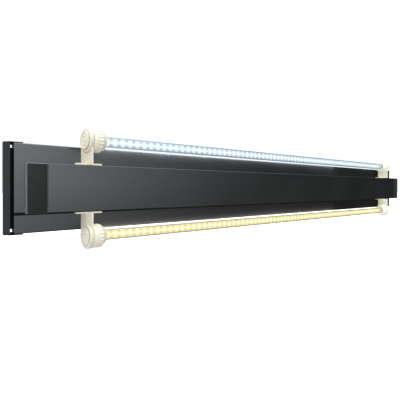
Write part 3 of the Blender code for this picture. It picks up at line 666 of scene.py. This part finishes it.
def make_cap(side_name, side):
    """A bar end cap: a thin rim round a matte recessed panel, with the lug that screws it on."""
    low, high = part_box(side_name + "_end_cap")
    depth = 7.4 * MM
    recess = 0.4 * MM
    shape = block(low, (high.x, low.y + depth, high.z))
    rim = [e for e in shape.edges if all(v.co.y < low.y + MM for v in e.verts)]
    bmesh.ops.bevel(shape, geom=rim, offset=0.15 * MM, segments=2, profile=0.5, affect="EDGES")
    near = low + Vector((0.25 * MM, 0, 0.25 * MM))
    far = Vector((high.x - 0.25 * MM, low.y + recess, high.z - 0.8 * MM))
    opening = block(near - Vector((0, MM, 0)), far + Vector((0, 0.6 * MM, 0)))
    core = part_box("core_housing")
    wall = core[1].x if side > 0 else core[0].x
    gap = 0.3 * MM
    lug_x = sorted((wall + side * gap, wall + side * (gap + 2.7 * MM)))
    lug = block((lug_x[0], low.y + depth - MM, -14 * MM), (lug_x[1], high.y, 14 * MM), 0.4 * MM)
    frame_piece = combined(side_name + "_cap_frame", [shape, lug], [opening])
    dress(frame_piece, PAINTED_LIGHT_CAP_TRIM, "housing", [side_name + "_end_cap"])
    play = Vector((0.1 * MM, 0, 0.1 * MM))
    pad = block(
        near + play + Vector((0, recess, 0)), far - play + Vector((0, 0.6 * MM, 0)), 0.12 * MM
    )
    pad_piece = as_object(side_name + "_cap_pad", pad)
    dress(pad_piece, LOOKS["matte_black"], "housing")


def make_screw(name, node, axis_turn, look):
    """A pan-head screw with a cross recess, its head at the node's far end along +X turned."""
    low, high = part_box(node)
    centre = (low + high) / 2
    size = high - low
    length = max(size)
    head = sorted(size)[0] / 2
    shank = head * 0.47
    height = 2.1 * MM
    outline = softened([
        (-length / 2, 0, 0), (-length / 2 + 1.2 * MM, shank, 0.0), (length / 2 - height, shank, 0),
        (length / 2 - height, head, 0.2 * MM), (length / 2 - height * 0.35, head * 0.93, 0.5 * MM),
        (length / 2, head * 0.55, 0.4 * MM), (length / 2, 0, 0),
    ])
    shape = lathe([(p.x, p.y) for p in outline], 32)
    reach = head * 0.55
    slot = 0.45 * MM
    cuts = []
    for spread in ((slot, reach), (reach, slot)):
        cuts.append(
            block((length / 2 - 1.2 * MM, -spread[0], -spread[1]),
                  (length / 2 + MM, spread[0], spread[1]))
        )
    made = combined(name, [shape], cuts)
    made.data.transform(Matrix.Translation(centre) @ axis_turn)
    dress(made, look, "housing", [node], 40)


def make_gland():
    """The cable gland: a six-sided base, a ribbed clamping dome and the open bore."""
    low, high = GLAND
    centre_x = (low.x + high.x) / 2
    bore = 3.8 * MM
    barrel = 6.7 * MM
    seat = PLATE_BACK + 0.3 * MM
    top = high.y
    base_top = seat + 2.6 * MM
    flats = lathe([(seat, bore), (seat, 10.9 * MM), (base_top, 10.9 * MM), (base_top, bore)], 6)
    skirt = lathe(
        [(seat, bore), (seat, 11 * MM), (seat + 0.9 * MM, 11 * MM), (seat + 0.9 * MM, bore)], 48
    )
    dome_outline = softened([
        (base_top - 0.2 * MM, bore, 0), (base_top - 0.2 * MM, 8.6 * MM, 0),
        (top - 1.6 * MM, 7.6 * MM, 1.2 * MM), (top, 5.6 * MM, 0.5 * MM), (top, bore, 0.4 * MM),
    ])
    dome = lathe([(p.x, p.y) for p in dome_outline], 48)
    ribs = []
    for k in range(12):
        rib = block((base_top, 7.2 * MM, -0.5 * MM), (top - 1.7 * MM, 8.7 * MM, 0.5 * MM), 0.2 * MM)
        ribs.append(moved(rib, Matrix.Rotation(2 * math.pi * k / 12, 4, "X")))
    sleeve = lathe([(low.y, bore), (low.y, barrel), (seat + MM, barrel), (seat + MM, bore)], 32)
    made = combined("cable_gland_body", [flats, skirt, dome, sleeve, *ribs])
    made.data.transform(Matrix.Translation((centre_x, 0, 0)) @ Matrix.Rotation(math.pi / 2, 4, "Z"))
    dress(made, LOOKS["black_rubber"], "housing", ["cable_gland"])


# ---------------------------------------------------------------- lamp holders


def corner_place(side, level):
    """Carries a shape built for the upper right corner, about its tube axis, to any corner."""
    return Matrix.Translation((0, TUBE_Y, level * TUBE_Z)) @ Matrix.Diagonal((side, 1, level, 1))


def flat_plate(inner_x, outer_x, front, back, base_z, corner):
    """One leaf of a holder's flange, with its upper rim rounded."""
    leaf = slab((outer_x - inner_x) / 2, (back - front) / 2, FLANGE_THICKNESS, corner, 0.5 * MM)
    middle = ((outer_x + inner_x) / 2, (back + front) / 2, base_z)
    return moved(leaf, Matrix.Translation(middle))


def arm_shape(low_z, high_z):
    """An arm whose outer face widens toward its back edge, with round front corners."""
    corner = 0.7 * MM
    outline = softened([
        (ARM_INNER, -ARM_HALF_DEPTH, corner), (ARM_FRONT_OUTER, -ARM_HALF_DEPTH, corner),
        (HEAD_OUTER, ARM_HALF_DEPTH, corner), (ARM_INNER, ARM_HALF_DEPTH, corner),
    ])
    shape = bmesh.new()
    base = shape.faces.new([shape.verts.new((p.x, p.y, low_z)) for p in outline])
    made = bmesh.ops.extrude_face_region(shape, geom=[base])["geom"]
    lifted = [item for item in made if isinstance(item, bmesh.types.BMVert)]
    bmesh.ops.translate(shape, vec=(0, 0, high_z - low_z), verts=lifted)
    bmesh.ops.recalc_face_normals(shape, faces=shape.faces)
    return shape


def arm_flutes(low_z, high_z):
    """Shallow upright grooves in the sloping outer face of an arm."""
    slope = (HEAD_OUTER - ARM_FRONT_OUTER) / (2 * ARM_HALF_DEPTH)
    grooves = []
    for k in range(7):
        y = (k - 3) * 3 * MM
        x = ARM_FRONT_OUTER + (y + ARM_HALF_DEPTH) * slope + 0.55 * MM
        tool = lathe([(low_z, 0), (low_z, 0.8 * MM), (high_z, 0.8 * MM), (high_z, 0)], 12)
        tool = moved(tool, Matrix.Rotation(-math.pi / 2, 4, "Y"))
        grooves.append(moved(tool, Matrix.Translation((x, y, 0))))
    return grooves


def make_holder(name, side, level):
    """A flange on the bar, a fluted arm, and a round head with a threaded spigot."""
    wall = BAR_HALF_WIDTH + 0.3 * MM - TUBE_Z
    front = BAR_FRONT + 1 * MM - TUBE_Y
    flange = flat_plate(HOLDER[0].x, HOLDER[1].x, front, front + 7 * MM, wall, 1.5 * MM)
    foot = flat_plate(
        HEAD_INNER - 6 * MM, HEAD_INNER + 9 * MM, front + 4 * MM, front + 22 * MM, wall, 3 * MM
    )
    heel = block(
        (ARM_INNER - 0.8 * MM, -4 * MM, wall + FLANGE_THICKNESS / 2),
        (HEAD_OUTER + 0.6 * MM, ARM_HALF_DEPTH - 0.6 * MM, wall + FLANGE_THICKNESS + 1.2 * MM),
        0.5 * MM,
    )
    arm = arm_shape(wall + 0.3 * MM, 2 * MM)
    thread = []
    root = SPIGOT_RADIUS - THREAD_DEPTH
    for k in range(THREAD_TURNS):
        top = HEAD_INNER - 1.0 * MM - THREAD_PITCH * k
        thread += [(top, root, 0), (top - 0.7 * MM, SPIGOT_RADIUS, 0),
                   (top - 1.2 * MM, SPIGOT_RADIUS, 0), (top - 1.9 * MM, root, 0)]
    head_outline = softened([
        (SPIGOT_END, BORE_RADIUS, 0.3 * MM), (SPIGOT_END, root, 0.2 * MM),
        *reversed(thread),
        (HEAD_INNER, root, 0), (HEAD_INNER, HEAD_RADIUS, 0.9 * MM),
        (HEAD_OUTER, HEAD_RADIUS, 1.1 * MM), (HEAD_OUTER, 11.9 * MM, 0.3 * MM),
        (HEAD_OUTER - 0.5 * MM, 11.5 * MM, 0.2 * MM), (HEAD_OUTER - 0.5 * MM, BORE_RADIUS, 0),
    ], 3)
    head = lathe([(p.x, p.y) for p in head_outline], 72)
    clearing = lathe([
        (HEAD_INNER - MM, 0), (HEAD_INNER - MM, 11.6 * MM),
        (HEAD_OUTER + MM, 11.6 * MM), (HEAD_OUTER + MM, 0),
    ], 48)
    boss_y = 15.5 * MM + BAR_FRONT - TUBE_Y
    boss_low = 20 * MM - TUBE_Z
    boss = lathe([(boss_low, 0), (boss_low, 4 * MM), (wall + MM, 4 * MM), (wall + MM, 0)], 32)
    boss = moved(boss, Matrix.Rotation(-math.pi / 2, 4, "Y"))
    boss = moved(boss, Matrix.Translation((HEAD_INNER + 3 * MM, boss_y, 0)))
    flutes = arm_flutes(wall + 4.5 * MM, 0.0)
    arm_part = combined("arm_part", [flange, foot, heel, arm, boss], [*flutes, clearing])
    carried = bmesh.new()
    carried.from_mesh(arm_part.data)
    bpy.data.objects.remove(arm_part)
    made = combined(name + "_lamp_holder", [carried, head])
    made.data.transform(corner_place(side, level))
    if side * level < 0:
        made.data.flip_normals()
    dress(made, LOOKS["cream_plastic"], "housing", [name + "_holder"])


def make_disc(name, side, level):
    """The round cover on a holder's head, with raised rings."""
    start_x = DISC[0].x
    face = DISC[1].x
    low_face = face - 0.45 * MM
    outline = softened([
        (start_x, 0, 0), (start_x, 10.8 * MM, 0), (face, 10.8 * MM, 0.5 * MM),
        (face, 9.4 * MM, 0.2 * MM), (low_face, 9.0 * MM, 0.1 * MM), (low_face, 6.6 * MM, 0.1 * MM),
        (face - 0.1 * MM, 6.2 * MM, 0.1 * MM), (face - 0.1 * MM, 5.2 * MM, 0.1 * MM),
        (low_face, 4.8 * MM, 0.1 * MM), (low_face, 2.4 * MM, 0.1 * MM),
        (face - 0.2 * MM, 1.8 * MM, 0.1 * MM), (face - 0.2 * MM, 0, 0),
    ], 3)
    made = as_object(name + "_cover_disc", lathe([(p.x, p.y) for p in outline], 72))
    made.data.transform(corner_place(side, level))
    if side * level < 0:
        made.data.flip_normals()
    dress(made, LOOKS["cream_plastic"], "housing", [name + "_holder_cover"], 40)


def make_nut(name, side, level):
    """A union nut: a smooth collar, a ribbed grip, and a tapered neck round the tube."""
    start_x = NUT[0].x
    end_x = NUT[1].x
    seat = HEAD_INNER - 14.2 * MM
    outline = softened([
        (end_x, NUT_THREAD_RADIUS, 0.3 * MM), (end_x, NUT_RADIUS, 0.8 * MM),
        (end_x - 5.2 * MM, NUT_RADIUS, 0.5 * MM), (end_x - 5.7 * MM, NUT_RADIUS - 0.8 * MM, 0.3 * MM),
        (end_x - 6.5 * MM, NUT_RADIUS - 0.8 * MM, 0.3 * MM), (end_x - 7.0 * MM, NUT_RADIUS, 0.3 * MM),
        (seat + 1.4 * MM, NUT_RADIUS - 0.2 * MM, 0.8 * MM),
        (seat - 0.6 * MM, NUT_NECK_RADIUS + 1.8 * MM, 1.0 * MM),
        (start_x, NUT_NECK_RADIUS, 0.7 * MM), (start_x, NUT_HOLE_RADIUS, 0.3 * MM),
        (seat, NUT_HOLE_RADIUS, 0), (seat, NUT_THREAD_RADIUS, 0),
    ], 4)
    ribbed = (seat - 0.4 * MM, end_x - 6.9 * MM)
    shape = lathe([(p.x, p.y) for p in outline], 192, 20, ribbed, 0.9 * MM)
    made = as_object(name + "_grip_nut", shape)
    made.data.transform(corner_place(side, level))
    if side * level < 0:
        made.data.flip_normals()
    dress(made, LOOKS["cream_plastic"], name + "_nut", [name + "_union_nut"], 50)


# ---------------------------------------------------------------- tubes


def make_sleeve(level_name, level):
    inside = TUBE_RADIUS - TUBE_WALL
    outline = softened([
        (-TUBE_HALF, inside, 0.3 * MM), (-TUBE_HALF, TUBE_RADIUS, 0.4 * MM),
        (TUBE_HALF, TUBE_RADIUS, 0.4 * MM), (TUBE_HALF, inside, 0.3 * MM),
    ], 3)
    made = as_object(level_name + "_clear_sleeve", lathe([(p.x, p.y) for p in outline], 64))
    made.location = (0, TUBE_Y, level * TUBE_Z)
    dress(made, SLEEVES[level_name], level_name + "_tube",
          [level_name + "_tube_sleeve"])


def chip_shapes():
    """A chip's package, its phosphor window and its two solder pads, about the chip's middle."""
    package = block((-CHIP_HALF, -CHIP_HEIGHT, -CHIP_HALF), (CHIP_HALF, 0, CHIP_HALF), 0.18 * MM)
    outline = softened([
        (-CHIP_HEIGHT + 0.1 * MM, 0, 0), (-CHIP_HEIGHT - 0.12 * MM, 0, 0),
        (-CHIP_HEIGHT - 0.05 * MM, 1.15 * MM, 0.05 * MM), (-CHIP_HEIGHT + 0.1 * MM, 1.15 * MM, 0),
    ], 2)
    window = lathe([(p.x, p.y) for p in outline], 20)
    window = moved(window, Matrix.Rotation(math.pi / 2, 4, "Z"))
    pads = bmesh.new()
    for sign in (-1, 1):
        place = Matrix.Translation((sign * 1.75 * MM, -0.12 * MM, 0))
        size = Matrix.Diagonal((0.7 * MM, 0.3 * MM, 2.2 * MM, 1))
        bmesh.ops.create_cube(pads, size=1, matrix=place @ size)
    bmesh.ops.bevel(
        pads, geom=pads.edges[:], offset=0.1 * MM, segments=1, profile=0.5, affect="EDGES"
    )
    return package, window, pads


def repeated(shape, places):
    """One shape copied to each place."""
    mesh = bpy.data.meshes.new("repeated")
    shape.to_mesh(mesh)
    shape.free()
    row = bmesh.new()
    for place in places:
        first = len(row.verts)
        row.from_mesh(mesh)
        row.verts.ensure_lookup_table()
        bmesh.ops.translate(row, vec=place, verts=row.verts[first:])
    bpy.data.meshes.remove(mesh)
    return row


def make_board(level_name, level):
    """The LED board with its chips, windows, pads and resistors."""
    low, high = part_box(level_name + "_led_board")
    board_low = high.y - MM
    board = block((low.x, board_low, low.z), (high.x, high.y, high.z), 0.12 * MM)
    body = level_name + "_tube"
    origin = Vector((0, TUBE_Y, level * TUBE_Z))
    made = as_object(level_name + "_strip_board", moved(board, Matrix.Translation(-origin)))
    made.location = origin
    dress(made, BOARDS[level_name], body, [level_name + "_led_board"])
    face = board_low - origin.y
    places = [Vector(((k - (CHIPS - 1) / 2) * CHIP_PITCH, face, 0)) for k in range(CHIPS)]
    package, window, pads = chip_shapes()
    resistor = block((-0.8 * MM, -0.45 * MM, -0.4 * MM), (0.8 * MM, 0, 0.4 * MM), 0.1 * MM)
    halfway = [place + Vector((CHIP_PITCH / 2, 0, 3 * MM)) for place in places[2:-1:4]]
    for suffix, shape, where, look in (
        ("_led_packages", package, places, PACKAGES[level_name]),
        ("_led_windows", window, places, PHOSPHORS[level_name]),
        # The solder pads share the packages' glowing material, a painted glow.
        ("_solder_pads", pads, places, PACKAGES[level_name]),
        ("_resistors", resistor, halfway, LOOKS["matte_black"]),
    ):
        made = as_object(level_name + suffix, repeated(shape, where))
        made.location = origin
        dress(made, look, body)


# ---------------------------------------------------------------- carried-over nodes


def dress_nodes():
    """Gives every CAD node that still shows its material, and soft edges where it is seen."""
    slots = {row["node"]: row["material_slot"] for row in frame["record"]["subparts"]}
    for node, item in frame["nodes"].items():
        if item.hide_render:
            continue
        look = LOOKS.get(slots[node])
        if node == "driver_board":
            look = DRIVER_GREEN
        item.data.materials.clear()
        item.data.materials.append(look)
        if node.endswith("_end_bracket") or node == "back_plate":
            weld = item.modifiers.new("Weld", "WELD")
            weld.merge_threshold = 0.00001
            soft = item.modifiers.new("Bevel", "BEVEL")
            soft.width = 0.5 * MM if node == "back_plate" else 0.3 * MM
            soft.segments = 2
            soft.limit_method = "ANGLE"
            soft.angle_limit = math.radians(50)
            soft.harden_normals = False


# ---------------------------------------------------------------- studio


def make_floor():
    """A pale floor under the lamp. It shows and takes shadows, and the sky lights the lamp."""
    floor_z = cad_box[0].z - 0.3 * MM
    shape = bmesh.new()
    bmesh.ops.create_grid(shape, x_segments=1, y_segments=1, size=6)
    floor = as_object("studio_floor", shape)
    floor.location.z = floor_z
    made, tree, shader = start("floor_white", (0.9, 0.9, 0.9), 0.9)
    shader.inputs["Specular IOR Level"].default_value = 0.1
    shader.inputs["Emission Color"].default_value = (1, 1, 1, 1)
    shader.inputs["Emission Strength"].default_value = 0.55
    floor.data.materials.append(made)
    floor.visible_glossy = False
    floor.visible_diffuse = False
    floor.visible_transmission = False
    floor.visible_shadow = False


def sky_terms(tree):
    """How bright the studio is in each direction: a tall soft wall of light in front of the lamp,
    brightest high up, a soft ceiling, and weaker fill from the left and from behind."""
    where = tree.nodes.new("ShaderNodeTexCoord")
    parts = tree.nodes.new("ShaderNodeSeparateXYZ")
    tree.links.new(where.outputs["Generated"], parts.inputs["Vector"])
    x, y, z = parts.outputs

    def toward(value, power):
        return worked(tree, "POWER", worked(tree, "MAXIMUM", value, 0.0), power)

    def rising(low, high):
        made = tree.nodes.new("ShaderNodeMapRange")
        made.interpolation_type = "SMOOTHSTEP"
        made.inputs["From Min"].default_value = low
        made.inputs["From Max"].default_value = high
        tree.links.new(z, made.inputs["Value"])
        return made.outputs["Result"]

    front = toward(worked(tree, "MULTIPLY", y, -1.0), 8.3)
    height = worked(tree, "EXPONENT", worked(tree, "MULTIPLY", z, 1.6))
    wall = worked(tree, "MULTIPLY", worked(tree, "MULTIPLY", front, height), 1.84)
    ceiling = worked(tree, "MULTIPLY", rising(0.3, 0.95), 2.4)
    bounce = worked(tree, "MULTIPLY", toward(worked(tree, "MULTIPLY", z, -1.0), 1.5), 0.6)
    left = worked(tree, "MULTIPLY", toward(worked(tree, "MULTIPLY", x, -1.0), 2.0), 1.1)
    behind = worked(tree, "MULTIPLY", toward(y, 2.0), 0.9)
    total = worked(tree, "ADD", worked(tree, "ADD", wall, ceiling), bounce)
    total = worked(tree, "ADD", total, worked(tree, "ADD", left, behind))
    return worked(tree, "ADD", total, 0.02)


def make_world():
    """The camera sees plain white, and everything else the studio's soft light."""
    world = bpy.data.worlds.new("studio")
    bpy.context.scene.world = world
    world.use_nodes = True
    tree = world.node_tree
    tree.nodes.clear()
    strength = sky_terms(tree)
    lit = tree.nodes.new("ShaderNodeBackground")
    lit.inputs["Color"].default_value = (0.89, 0.955, 1.0, 1)
    tree.links.new(strength, lit.inputs["Strength"])
    plain = tree.nodes.new("ShaderNodeBackground")
    plain.inputs["Color"].default_value = (1, 1, 1, 1)
    path = tree.nodes.new("ShaderNodeLightPath")
    mix = tree.nodes.new("ShaderNodeMixShader")
    tree.links.new(path.outputs["Is Camera Ray"], mix.inputs["Fac"])
    tree.links.new(lit.outputs["Background"], mix.inputs[1])
    tree.links.new(plain.outputs["Background"], mix.inputs[2])
    out = tree.nodes.new("ShaderNodeOutputWorld")
    tree.links.new(mix.outputs["Shader"], out.inputs["Surface"])


def make_tube_glow():
    """A strip light behind each tube, which throws its glow on the plate."""
    for level_name, level in LEVELS.items():
        light = bpy.data.lights.new(level_name + "_glow", "AREA")
        light.shape = "RECTANGLE"
        light.size = GLOW_LENGTH
        light.size_y = 2.4 * MM
        light.energy = GLOW_POWER[level_name]
        light.color = GLOW_COLOUR[level_name]
        item = bpy.data.objects.new(light.name, light)
        bpy.context.scene.collection.objects.link(item)
        item.location = (GLOW_SHIFT, PLATE_FRONT - 3.6 * MM, level * (TUBE_Z - 4.8 * MM))
        aim = Vector((0, 1, -level * 0.5))
        item.rotation_mode = "QUATERNION"
        item.rotation_quaternion = aim.to_track_quat("-Z", "Y")
        item.visible_camera = False
        item.visible_glossy = False


GLOW_POWER = {"upper": 0.54, "lower": 0.33}
GLOW_COLOUR = {"upper": COOL, "lower": (1.0, 0.96, 0.88)}
GLOW_LENGTH = 590 * MM
GLOW_SHIFT = -100 * MM
CAMERA_FROM_BAR = Vector((-0.6329, -0.4252, 0.0))
CAMERA_FORWARD = Vector((0.6743, 0.7385, 0.0))
CAMERA_LENS = 34.65
CAMERA_SHIFT_Y = -0.029


def make_camera():
    data = bpy.data.cameras.new("camera")
    data.lens = CAMERA_LENS
    data.sensor_width = 36
    data.shift_y = CAMERA_SHIFT_Y
    data.clip_start = 0.01
    data.clip_end = 50
    camera = bpy.data.objects.new("camera", data)
    bpy.context.scene.collection.objects.link(camera)
    camera.location = CAMERA_FROM_BAR + Vector((0, BAR_FRONT, 0))
    camera.rotation_mode = "QUATERNION"
    camera.rotation_quaternion = CAMERA_FORWARD.to_track_quat("-Z", "Y")
    bpy.context.scene.camera = camera


# ---------------------------------------------------------------- scene


def hide_from_gloss():
    """Keeps the dark paint's wide reflections clear of the bar, the tubes and their holders."""
    plain = ("bar_front_cover", "_cap_frame", "_cap_pad", "_clear_sleeve", "_strip_board",
             "_lamp_holder", "_cover_disc", "_grip_nut")
    chips = ("_led_packages", "_led_windows", "_solder_pads", "_resistors")
    for item in bpy.context.scene.objects:
        if item.name.endswith(plain + chips):
            item.visible_glossy = False
    for node in ("core_housing", "cover_gasket", "upper_led_carrier", "lower_led_carrier"):
        frame["nodes"][node].visible_glossy = False


def make_pieces():
    make_cover()
    for side_name, side in SIDES.items():
        make_cap(side_name, side)
    for level_name, level in LEVELS.items():
        make_sleeve(level_name, level)
        make_board(level_name, level)
        for side_name, side in SIDES.items():
            name = f"{level_name}_{side_name}"
            make_holder(name, side, level)
            make_disc(name, side, level)
            make_nut(name, side, level)
    make_gland()
    for number in range(1, 5):
        make_screw(f"plate_screw_head_{number}", f"plate_screw_{number}",
                   Matrix.Rotation(math.pi / 2, 4, "Z"), LOOKS["zinc_steel"])


make_pieces()
dress_nodes()
hide_from_gloss()
make_floor()
make_world()
make_tube_glow()
make_camera()
bpy.context.scene.view_settings.view_transform = "Standard"
